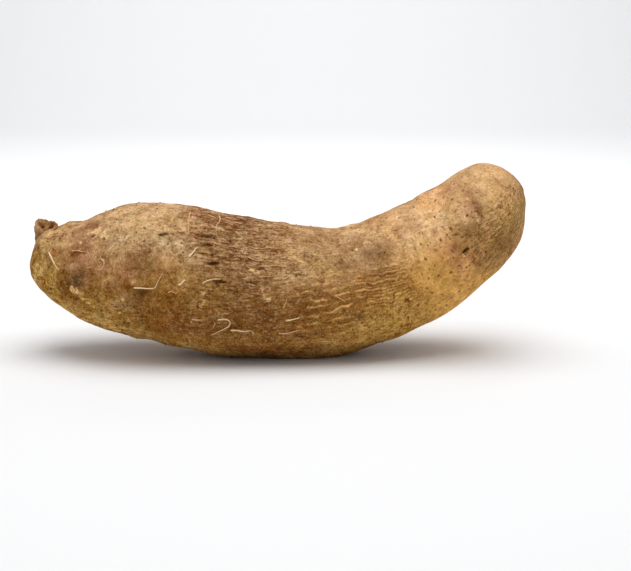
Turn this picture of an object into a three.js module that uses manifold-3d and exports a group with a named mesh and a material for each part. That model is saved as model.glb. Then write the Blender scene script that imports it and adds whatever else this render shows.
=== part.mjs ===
/**
 * A yam: one grown tuber with the woody stub of its crown, modelled in millimetres, +Z up.
 *
 * The skin is swept along a bent centre line. Each station gives the middle of one cross
 * section and its two half sizes, and a Catmull-Rom curve runs through all of them. Both ends
 * close as an ellipse. Broad lumps, a few local swellings and one shallow crease are added to
 * the radius. The belly is cut flat where the tuber rests, and the stub is joined on top.
 */

import * as THREE from 'three';
import { mergeVertices } from 'three/addons/utils/BufferGeometryUtils.js';
import Module from 'manifold-3d';

// Stations from the crown end to the growing tip: x, y, z, half thickness, half width.
const STATIONS = [
	[ - 161.5, 4, 73.5, 25, 24.5 ],
	[ - 146, 3, 65, 27, 28.5 ],
	[ - 120, 1, 58, 37.5, 38.5 ],
	[ - 92, - 1, 58, 44.5, 45.5 ],
	[ - 60, - 3, 52.5, 47, 48 ],
	[ - 26, - 3, 45.5, 45.5, 48 ],
	[ 8, - 2, 42, 45, 46.5 ],
	[ 38, 0, 42.5, 42.5, 44.5 ],
	[ 64, 2, 49, 39.3, 42 ],
	[ 88, 3, 60.5, 39, 40 ],
	[ 112, 2, 75, 36, 38.5 ],
	[ 131.5, 0, 94, 33, 36 ],
	[ 154.3, - 3, 119.3, 31, 34 ]
];

// Length over which each end rounds off.
const CROWN_CAP = 23;
const TIP_CAP = 34;

// Broad lumps: height, waves along the tuber, phase, waves around it, phase.
const LUMPS = [
	[ 1.1, 1.65, 0.4, 2, 0.9 ],
	[ 0.8, 2.55, 2.1, 3, 2.4 ],
	[ 0.6, 4.15, 1.2, 2, 4 ],
	[ 0.5, 3.1, 3.3, 5, 1.1 ],
	[ 0.45, 5.75, 0.3, 4, 5.2 ]
];

// Local swellings: height, share of the length, spread along, angle around, spread around.
const SWELLINGS = [
	[ - 1.6, 0.075, 0.03, 1.65, 0.8 ],
	[ 2.4, 0.17, 0.05, - 1.57, 0.8 ],
	[ 1.4, 0.35, 0.07, - 1.57, 0.8 ],
	[ 1.6, 0.77, 0.08, - 1.57, 0.8 ],
	[ 3, 0.985, 0.03, 1.6, 1 ],
	[ - 7, 0.965, 0.03, - 1.45, 0.7 ],
	[ - 2.6, 0.905, 0.035, 1.6, 0.8 ],
	[ 1.6, 0.88, 0.04, - 1.5, 0.8 ],
	[ - 1.8, 0.885, 0.022, - 0.55, 1.1 ]
];

// Crown stub: middle of its broken top, the way it points, and its outline from top to root.
const STUB_TOP = new THREE.Vector3( - 154, 2, 87.8 );
const STUB_AXIS = new THREE.Vector3( - 0.05, - 0.14, 0.98 ).normalize();
const STUB_PROFILE = [ [ 0, - 2.6 ], [ 3.2, - 2.3 ], [ 5.2, - 1.2 ], [ 6.6, 0.1 ], [ 7.5, - 0.5 ],
	[ 7.8, - 2.6 ], [ 8, - 5.5 ], [ 8.6, - 8.5 ], [ 10, - 12 ], [ 8, - 16 ], [ 0, - 17 ] ];
const STUB_LOBES = [ [ 0.06, 2, 0.7 ], [ 0.05, 3, 2.2 ], [ 0.03, 5, 4.1 ] ];

// The stub's broken rim: its radius, how far down it is felt, and its height, waves and phase.
const RIM_RADIUS = 6.6;
const RIM_DEPTH = 5;
const RIM_WAVES = [ [ 1, 1, 0.5 ], [ 0.45, 3, 2.6 ] ];

// Block below the resting level that cuts the belly flat.
const GROUND_SIZE = [ 500, 200, 40 ];
const GROUND_CENTRE = [ 0, 0, - 20 ];

// Steps that measure the centre line, and the reach of its direction, in stations.
const ARC_STEPS = 1200;
const REACH = 1e-3;

const CROWN_RINGS = 9;
const BODY_RINGS = 42;
const TIP_RINGS = 12;
const SEGMENTS = 54;
const STUB_SEGMENTS = 26;

const skin = new THREE.MeshStandardMaterial( { name: 'skin', color: 0xa67d55, roughness: 0.9 } );

function catmullRom( a, b, c, d, f ) {

	return 0.5 * ( 2 * b + ( c - a ) * f + ( 2 * a - 5 * b + 4 * c - d ) * f * f
		+ ( 3 * b - 3 * c + d - a ) * f * f * f );

}

// A station's five values; past either end the two outer stations are carried straight on.
function station( n ) {

	const last = STATIONS.length - 1;
	const end = Math.min( Math.max( n, 0 ), last );
	const inner = n < 0 ? 1 : last - 1;
	if ( n === end ) return STATIONS[ n ];
	return STATIONS[ end ].map( ( value, k ) => 2 * value - STATIONS[ inner ][ k ] );

}

// The five values at t, where t counts stations.
function stationAt( t ) {

	const i = Math.min( Math.max( Math.floor( t ), 0 ), STATIONS.length - 2 );
	const [ a, b, c, d ] = [ i - 1, i, i + 1, i + 2 ].map( station );
	return a.map( ( _, k ) => catmullRom( a[ k ], b[ k ], c[ k ], d[ k ], t - i ) );

}

// Arc length along the centre line against t.
function arcTable( steps ) {

	const last = STATIONS.length - 1;
	const table = [ { t: 0, s: 0 } ];
	let before = stationAt( 0 );

	for ( let n = 1; n <= steps; n ++ ) {

		const t = last * n / steps;
		const here = stationAt( t );
		const step = Math.hypot( here[ 0 ] - before[ 0 ], here[ 1 ] - before[ 1 ], here[ 2 ] - before[ 2 ] );
		table.push( { t, s: table[ n - 1 ].s + step } );
		before = here;

	}

	return table;

}

const ARC = arcTable( ARC_STEPS );
const LENGTH = ARC[ ARC.length - 1 ].s;

function parameterAt( s ) {

	let low = 0;
	let high = ARC.length - 1;

	while ( high - low > 1 ) {

		const middle = ( low + high ) >> 1;
		if ( ARC[ middle ].s > s ) high = middle;
		else low = middle;

	}

	const share = ( s - ARC[ low ].s ) / ( ARC[ high ].s - ARC[ low ].s );
	return ARC[ low ].t + share * ( ARC[ high ].t - ARC[ low ].t );

}

// 1 along the body, closing as an ellipse over the given length at each end.
function endScale( s ) {

	const crown = Math.max( 1 - s / CROWN_CAP, 0 );
	const tip = Math.max( 1 - ( LENGTH - s ) / TIP_CAP, 0 );
	return Math.sqrt( Math.max( 1 - crown * crown - tip * tip, 0 ) );

}

function angleBetween( a, b ) {

	return Math.atan2( Math.sin( a - b ), Math.cos( a - b ) );

}

function relief( share, angle ) {

	let height = 0;

	for ( const [ h, along, phase, around, turn ] of LUMPS ) {

		height += h * Math.sin( 2 * Math.PI * along * share + phase ) * Math.cos( around * angle + turn );

	}

	for ( const [ h, at, spread, side, spreadAround ] of SWELLINGS ) {

		const alongPart = ( share - at ) / spread;
		const aroundPart = angleBetween( angle, side ) / spreadAround;
		height += h * Math.exp( - alongPart * alongPart - aroundPart * aroundPart );

	}

	return height;

}

// A point of the skin: s runs along the centre line, angle 0 faces -Y and a quarter turn is up.
function skinPoint( s, angle ) {

	const t = parameterAt( s );
	const last = STATIONS.length - 1;
	const ahead = new THREE.Vector3( ...stationAt( Math.min( t + REACH, last ) ) );
	const behind = new THREE.Vector3( ...stationAt( Math.max( t - REACH, 0 ) ) );
	const forward = ahead.sub( behind ).normalize();
	const up = forward.clone().cross( new THREE.Vector3( 0, 1, 0 ) ).normalize();
	const back = up.clone().cross( forward );
	const [ x, y, z, thickness, width ] = stationAt( t );
	const lift = relief( s / LENGTH, angle );
	const scale = endScale( s );

	return new THREE.Vector3( x, y, z )
		.addScaledVector( up, ( thickness + lift ) * scale * Math.sin( angle ) )
		.addScaledVector( back, - ( width + lift ) * scale * Math.cos( angle ) );

}

// Ring places: evenly spaced on the body, and by equal angles of the ellipse at each end.
function ringPlaces() {

	const places = [];

	for ( let n = 1; n < CROWN_RINGS; n ++ ) {

		places.push( CROWN_CAP * ( 1 - Math.cos( Math.PI / 2 * n / CROWN_RINGS ) ) );

	}

	for ( let n = 0; n <= BODY_RINGS; n ++ ) {

		places.push( CROWN_CAP + ( LENGTH - CROWN_CAP - TIP_CAP ) * n / BODY_RINGS );

	}

	for ( let n = TIP_RINGS - 1; n > 0; n -- ) {

		places.push( LENGTH - TIP_CAP * ( 1 - Math.cos( Math.PI / 2 * n / TIP_RINGS ) ) );

	}

	return places;

}

// A closed shell from rings of points with one pole before the first and one after the last.
function shell( firstPole, rings, lastPole ) {

	const count = rings[ 0 ].length;
	const points = [ firstPole, ...rings.flat(), lastPole ];
	const end = points.length - 1;
	const index = [];

	for ( let j = 0; j < count; j ++ ) {

		const k = ( j + 1 ) % count;
		index.push( 0, 1 + j, 1 + k );

		for ( let i = 0; i < rings.length - 1; i ++ ) {

			const a = 1 + i * count + j;
			const b = 1 + i * count + k;
			index.push( a, a + count, b, b, a + count, b + count );

		}

		index.push( end, end - count + k, end - count + j );

	}

	const geometry = new THREE.BufferGeometry().setFromPoints( points );
	geometry.setIndex( index );
	return geometry;

}

function bodyGeometry() {

	const rings = ringPlaces().map( ( s ) =>
		Array.from( { length: SEGMENTS }, ( _, j ) => skinPoint( s, 2 * Math.PI * j / SEGMENTS ) ) );

	return shell( skinPoint( 0, 0 ), rings, skinPoint( LENGTH, 0 ) );

}

// The stub is turned from its profile, with a lobed girth and a wavy broken rim.
function stubGeometry() {

	const turn = new THREE.Quaternion().setFromUnitVectors( new THREE.Vector3( 0, 0, 1 ), STUB_AXIS );
	const place = ( radius, height, angle ) => {

		const lobes = STUB_LOBES.reduce( ( sum, [ h, n, p ] ) => sum + h * Math.cos( n * angle + p ), 1 );
		const rim = Math.min( radius / RIM_RADIUS, 1 ) ** 2 * Math.exp( Math.min( height, 0 ) / RIM_DEPTH );
		const wave = RIM_WAVES.reduce( ( sum, [ h, n, p ] ) => sum + h * Math.sin( n * angle + p ), 0 );
		const point = new THREE.Vector3( Math.cos( angle ), Math.sin( angle ), 0 );
		point.multiplyScalar( radius * lobes ).setZ( height + rim * wave );
		return point.applyQuaternion( turn ).add( STUB_TOP );

	};

	const ring = ( [ radius, height ] ) => Array.from( { length: STUB_SEGMENTS }, ( _, j ) =>
		place( radius, height, 2 * Math.PI * j / STUB_SEGMENTS ) );
	const rings = STUB_PROFILE.map( ring );
	const [ top, root ] = [ rings[ 0 ][ 0 ], rings[ rings.length - 1 ][ 0 ] ];

	return shell( top, rings.slice( 1, - 1 ), root );

}

const wasm = await Module();
wasm.setup();

function toManifold( geometry ) {

	const vertProperties = Float32Array.from( geometry.attributes.position.array );
	const triVerts = Uint32Array.from( geometry.index.array );
	return new wasm.Manifold( new wasm.Mesh( { numProp: 3, vertProperties, triVerts } ) );

}

function toGeometry( manifold ) {

	const mesh = manifold.getMesh();
	const geometry = new THREE.BufferGeometry();
	geometry.setAttribute( 'position', new THREE.BufferAttribute( mesh.vertProperties, 3 ) );
	geometry.setIndex( new THREE.BufferAttribute( mesh.triVerts, 1 ) );
	return mergeVertices( geometry, 1e-5 );

}

function boxGeometry( size, centre ) {

	const geometry = new THREE.BoxGeometry( ...size ).translate( ...centre );
	geometry.deleteAttribute( 'normal' );
	geometry.deleteAttribute( 'uv' );
	return mergeVertices( geometry );

}

// The whole tuber as one closed body, standing on z = 0 with its footprint centred.
function tuberGeometry() {

	const ground = toManifold( boxGeometry( GROUND_SIZE, GROUND_CENTRE ) );
	const whole = toManifold( bodyGeometry() ).add( toManifold( stubGeometry() ) ).subtract( ground );
	const geometry = toGeometry( whole );
	geometry.computeBoundingBox();
	const centre = geometry.boundingBox.getCenter( new THREE.Vector3() );
	geometry.translate( - centre.x, - centre.y, 0 );
	geometry.computeVertexNormals();
	return geometry;

}

const tuber = new THREE.Mesh( tuberGeometry(), skin );
tuber.name = 'tuber';

const yam = new THREE.Group();
yam.name = 'yam';
yam.add( tuber );

export default yam;
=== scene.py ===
"""Yam tuber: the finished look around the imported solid.

The skin, the broken stem at the crown, the rootlets, the loose bark and the soil crumbs are surfaces
worked out with numpy. Lengths in the tables are millimetres. Places on the skin are millimetres along
the tuber's axis from the crown end and degrees around it: 0 faces the viewer (-Y), 90 is the top, 180
is the back and -90 is the side that it rests on. Meshes are in metres.
"""

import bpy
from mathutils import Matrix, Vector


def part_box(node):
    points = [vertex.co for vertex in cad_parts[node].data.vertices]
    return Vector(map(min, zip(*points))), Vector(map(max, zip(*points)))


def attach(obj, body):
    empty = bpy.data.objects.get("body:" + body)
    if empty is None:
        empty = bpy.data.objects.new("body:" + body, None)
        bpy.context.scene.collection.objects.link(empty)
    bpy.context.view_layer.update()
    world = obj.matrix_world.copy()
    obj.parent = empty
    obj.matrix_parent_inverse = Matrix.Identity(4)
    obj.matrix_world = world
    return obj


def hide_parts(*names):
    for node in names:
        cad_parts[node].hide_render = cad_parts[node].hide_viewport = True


bl_info = {
    "name": "Yam Tuber",
    "version": (1, 0, 0),
    "blender": (4, 5, 0),
    "location": "3D View > Sidebar > Yam",
    "description": "Builds the corky skin, crown, rootlets, bark and crumbs of a yam tuber",
    "category": "Add Mesh",
}

import functools
import math

import bpy
import numpy as np
from mathutils import Vector

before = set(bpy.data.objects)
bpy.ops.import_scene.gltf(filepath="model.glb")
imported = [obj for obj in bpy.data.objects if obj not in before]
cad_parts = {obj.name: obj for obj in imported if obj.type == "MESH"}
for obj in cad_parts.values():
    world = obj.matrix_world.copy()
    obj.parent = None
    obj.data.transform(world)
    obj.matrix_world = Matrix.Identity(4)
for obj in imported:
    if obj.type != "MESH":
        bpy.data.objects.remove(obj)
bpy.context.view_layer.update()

MM = 0.001
TURN = 2 * math.pi
SEED = 20

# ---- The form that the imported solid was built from, in millimetres.

# Axis through the tuber from crown to tip: x, y, z, half thickness, half width.
STATIONS = np.array((
    (-161.5, 4, 73.5, 25, 24.5), (-146, 3, 65, 27, 28.5), (-120, 1, 58, 37.5, 38.5),
    (-92, -1, 58, 44.5, 45.5), (-60, -3, 52.5, 47, 48), (-26, -3, 45.5, 45.5, 48), (8, -2, 42, 45, 46.5),
    (38, 0, 42.5, 42.5, 44.5), (64, 2, 49, 39.3, 42), (88, 3, 60.5, 39, 40), (112, 2, 75, 36, 38.5),
    (131.5, 0, 94, 33, 36), (154.3, -3, 119.3, 31, 34),
), dtype=float)
CROWN_CAP, TIP_CAP = 23, 34
AXIS_STEPS = 1200
# Slow unevenness: height, waves along the whole length, phase, waves around, phase.
LUMPS = (
    (1.1, 1.65, 0.4, 2, 0.9), (0.8, 2.55, 2.1, 3, 2.4), (0.6, 4.15, 1.2, 2, 4), (0.5, 3.1, 3.3, 5, 1.1),
    (0.45, 5.75, 0.3, 4, 5.2),
)
# Swellings and hollows: height, share of the length, spread along, angle around, spread around.
SWELLINGS = (
    (-1.6, 0.075, 0.03, 1.65, 0.8), (2.4, 0.17, 0.05, -1.57, 0.8), (1.4, 0.35, 0.07, -1.57, 0.8),
    (1.6, 0.77, 0.08, -1.57, 0.8), (3, 0.985, 0.03, 1.6, 1), (-7, 0.965, 0.03, -1.45, 0.7),
    (-2.6, 0.905, 0.035, 1.6, 0.8), (1.6, 0.88, 0.04, -1.5, 0.8), (-1.8, 0.885, 0.022, -0.55, 1.1),
)
# The broken stem: middle of its top, direction, and its profile from the middle of the torn face over
# the rim and down: radius, height. Holes in the face: x, y, radius.
STEM_TOP = np.array((-155.0, 2.0, 86.2))
STEM_DIRECTION = np.array((-0.05, -0.36, 0.93)) / np.linalg.norm((-0.05, -0.36, 0.93))
STEM_PROFILE = np.array((
    (0.5, -2.2), (2.2, -2.4), (3.8, -2.1), (5.0, -1.1), (6.0, 0.1), (6.9, 0.4), (7.5, -0.6), (7.7, -2.6),
    (7.8, -5.0), (8.1, -7.6), (8.4, -10.2), (8.0, -13.4), (5.0, -16.5), (0.5, -17.0),
))
STEM_HOLES = ((2.2, -2.2, 1.5), (-2.6, -1.6, 1.8), (-0.4, 2.2, 1.6), (3.6, 1.6, 1.1))

# How finely the skin is divided: about one millimetre each way, under 200,000 triangles.
RINGS, SEGMENTS = 369, 268
MEAN_RADIUS = 42.0
# Wrinkles to each ridge, and how far their wave is turned against it.
FOLDS, FOLD_TURN = 2, 1.0
# Radius up to which a pole holds back the bumps, and the radii between which sin(angle) takes over
# from the skin's own slope as the measure of how far a place faces up.
POLE_FADE, SLOPE_FADE = 16, (2, 22)
# Fibres and ridges run level rather than along the axis: along, degrees that they climb in front.
FIBRE_CLIMB = np.array((
    (0, -4), (60, -7), (90, -5), (110, 0), (140, 5), (170, 10), (190, 14), (205, 16.5), (220, 15),
    (240, 9.5), (260, 4), (285, 0), (305, -8), (348, -42),
), dtype=float)

# ---- Marks on the skin. Those in front are listed one by one; on the hidden side the same kinds are
# scattered by the seed: how many, then the range of each number.

# Fissures in the bark: along, around, length, width, depth, how far the upper lip stands up.
FISSURES = (
    (88.6, 42.3, 6, 2, 1.2, 0.5), (93.2, 44.6, 6.5, 1.1, 0.8, 0.5), (98.6, 47.6, 7.5, 1, 0.7, 0.4),
    (92, 52, 8, 1.1, 0.6, 0.4), (114, 48, 14, 1.9, 1.3, 0.7), (114.5, 41, 9, 1.2, 0.8, 0.5),
    (107, 37, 4, 1.2, 0.7, 0.3), (119, 34.5, 4.5, 1.5, 0.9, 0.5), (119.5, 27, 9, 1.7, 1.2, 0.7),
    (127, 14, 10, 1.9, 1.2, 0.5), (146, 17.5, 9, 1.5, 0.9, 0.5), (143, 13.5, 7, 1.5, 0.8, 0.4),
    (137, 9, 9, 1.2, 0.6, 0.3), (121, 57, 8, 1.1, 0.6, 0.5), (127, 49.5, 10, 1.1, 0.6, 0.5),
    (107, 54, 12, 1.2, 0.7, 0.5), (133, 44, 9, 1, 0.6, 0.4), (139, 43, 3, 1.4, 0.8, 0.2),
    (128, 37.5, 8, 1, 0.5, 0.3), (112, 64, 7, 1.2, 0.7, 0.5), (105, 70, 6, 1.2, 0.7, 0.5),
    (116, 73, 6, 1.3, 0.7, 0.5), (133, 82, 5, 1.8, 1, 0.4), (43.5, 45.3, 6.5, 1.4, 0.8, 0.6),
    (178.5, 26.5, 5, 1, 0.5, 0.4), (134, -7.5, 6, 1.1, 0.5, 0.2), (154, -3.5, 4, 1.1, 0.5, 0.2),
    (320.4, 59, 3, 0.8, 0.3, 0.1), (320, 76, 2.2, 0.8, 0.3, 0.1), (313.8, 81, 2.4, 0.8, 0.3, 0.1),
    (303, 69, 3.2, 0.8, 0.3, 0.1), (296.4, 51, 2.2, 1, 0.4, 0.1), (308.8, 66, 2.2, 0.6, 0.3, 0.1),
    (311.5, 36, 4, 0.8, 0.4, 0.2), (308.8, 34, 2.6, 0.8, 0.3, 0.1), (313.8, 30, 3, 0.8, 0.4, 0.2),
    (318.4, 17, 3.2, 1.4, 0.7, 0.2), (304.5, 28, 3.2, 0.7, 0.3, 0.1), (303.4, 18.5, 4.2, 0.8, 0.4, 0.1),
    (308.4, 15.5, 3.4, 0.8, 0.4, 0.1), (298, 13, 5.2, 1.2, 0.6, 0.2), (295.7, -6.3, 5.8, 2.3, 1.1, 0.1),
    (300.7, 7.5, 4.6, 0.9, 0.5, 0.1), (297.2, 18.5, 3.4, 0.8, 0.4, 0.1), (306.1, 7, 4.4, 1, 0.5, 0.1),
    (314.2, 3, 3.4, 0.9, 0.4, 0.1), (313.8, -17.5, 3.6, 0.9, 0.4, 0.1), (319.6, -19, 6, 1.3, 0.6, 0.1),
    (326.6, -3, 5, 0.9, 0.4, 0.1), (330, 10.5, 4.2, 0.9, 0.4, 0.1), (334.3, 17.5, 3.6, 0.7, 0.3, 0.1),
    (330.8, -3, 3.6, 0.9, 0.4, 0.1), (293.7, -19, 4.4, 1.2, 0.5, 0.1), (290.3, -21, 3.6, 1, 0.4, 0.1),
    (297, -20, 4, 1, 0.4, 0.1), (295, -27, 4.4, 0.9, 0.4, 0.1),
)
HIDDEN_FISSURES = (30, (88, 172), (95, 200), (8, 17), (1, 1.8), (0.5, 1.2), (0.3, 0.7))
# Low swellings and hollows: along, around, half length, half height, rise, slant where it has one.
BUMPS_BY_HAND = (
    (12, 94, 6, 14, 0.6), (21, 88, 7, 20, -1), (49.5, 92, 1.7, 2.4, 1.3), (4, 42, 5, 8, 1.2),
    (5, 62, 4, 9, -1.2), (4, 16, 6, 14, 1.8), (3.2, 34, 4.5, 8, 2.2), (6, 140, 6, 10, 1.6),
    (38, 90, 10, 28, 1.9), (86, -78, 9, 18, -1), (117, -84, 9, 22, -1.8), (303, -62, 8, 14, -0.8),
    (326, -48, 10, 12, -1.2), (343, 70, 6, 10, -0.6), (343.5, -95, 6, 11, -1), (332, -84, 8, 10, 0.7),
    (74, 90, 14, 30, -0.6), (118, 90, 13, 30, -1.5), (227, 100, 13, 30, 1.9), (258, 92, 9, 26, -1.2),
    (292, 102, 15, 30, 2.2), (331, 88, 9, 26, -1.1), (318, -68, 9, 16, -2), (290, -58, 9, 14, -2),
    (231, -66, 9, 14, 1.6), (295.6, -6.3, 3.6, 1.3, -2.2, 10), (320.5, 22, 2.2, 10, -1.2, -14),
    (316.5, 20, 2.4, 10, 0.8, -14), (311, 18, 3, 7, 0.7, -25),
)
# Pores and little pits: along, around, radius.
PORES = (
    (77.5, 47, 1), (79, 35, 0.9), (92.5, 35, 0.8), (65, 56, 0.8), (56.5, 39.6, 1.1), (62, 35, 0.5),
    (66, 14, 0.7), (63, 24, 0.6), (83, 9, 0.6), (51, -14, 0.7), (74, -14, 0.6), (66, -28, 0.7),
    (83, 28.5, 0.5), (71, 49, 0.7), (85, 51, 0.8), (92, 51, 0.7), (70, 20, 0.6), (98, 13, 0.7),
    (270, 9.5, 1.2), (272, 25, 0.9), (276, 20.5, 0.9), (286.5, 18.5, 1.2), (273.5, -0.5, 0.9),
    (281, 2, 0.8), (288.5, 2.5, 0.9), (284.5, -2.5, 0.7), (262.5, -2, 0.7), (265.5, -9, 0.9),
    (258, -9, 0.8), (272, -11, 0.9), (280, -15, 1.1), (286, -14, 0.8), (262, -24, 1), (268, -31, 0.8),
    (277.5, -39, 0.9), (266.5, -47.5, 1.1), (258.5, -44, 0.8), (257, -40, 0.6), (279, 12, 0.7),
    (294, 27, 0.8), (283, 30, 0.7), (290, 32, 0.7), (298, 22, 1.2), (293, 19, 0.8), (266, 65, 0.8),
    (281, 69.5, 1), (302, 63, 1.1), (303, 57, 0.9), (294, 43.5, 1), (300, 46, 0.8), (282, 39, 0.7),
    (306, 48.5, 0.7), (311.5, 48.5, 0.9), (318.5, 69, 0.9), (326, 71, 0.8), (287, 81, 0.9),
    (317.5, 92, 0.8), (321, 47, 0.9), (325, 53, 0.8), (302, 15, 0.8), (312, 20, 1.1), (319, 8.5, 0.9),
    (335.5, 6.5, 0.7), (330, -12, 0.7), (244.5, -18, 1.5), (239, -5, 0.7), (257, 6, 0.8), (251, -25, 0.6),
    (247, -36, 0.7), (289, -20, 0.7), (303, -26, 1.1), (293.8, -6.6, 0.8), (297.6, -5.8, 0.9),
    (240, -31, 0.6), (232, 64, 0.7), (251, 62, 0.6), (258, 75, 0.7), (268, 34, 0.7), (277, 34, 0.7),
    (308, 33, 0.8), (316, 58, 0.7), (299, 79, 0.8), (308, 60, 0.8), (287, 46, 0.7),
)
HIDDEN_PORES = (90, (238, 335), (95, 285), (0.6, 1.2)), (30, (20, 110), (95, 285), (0.5, 1))
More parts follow.
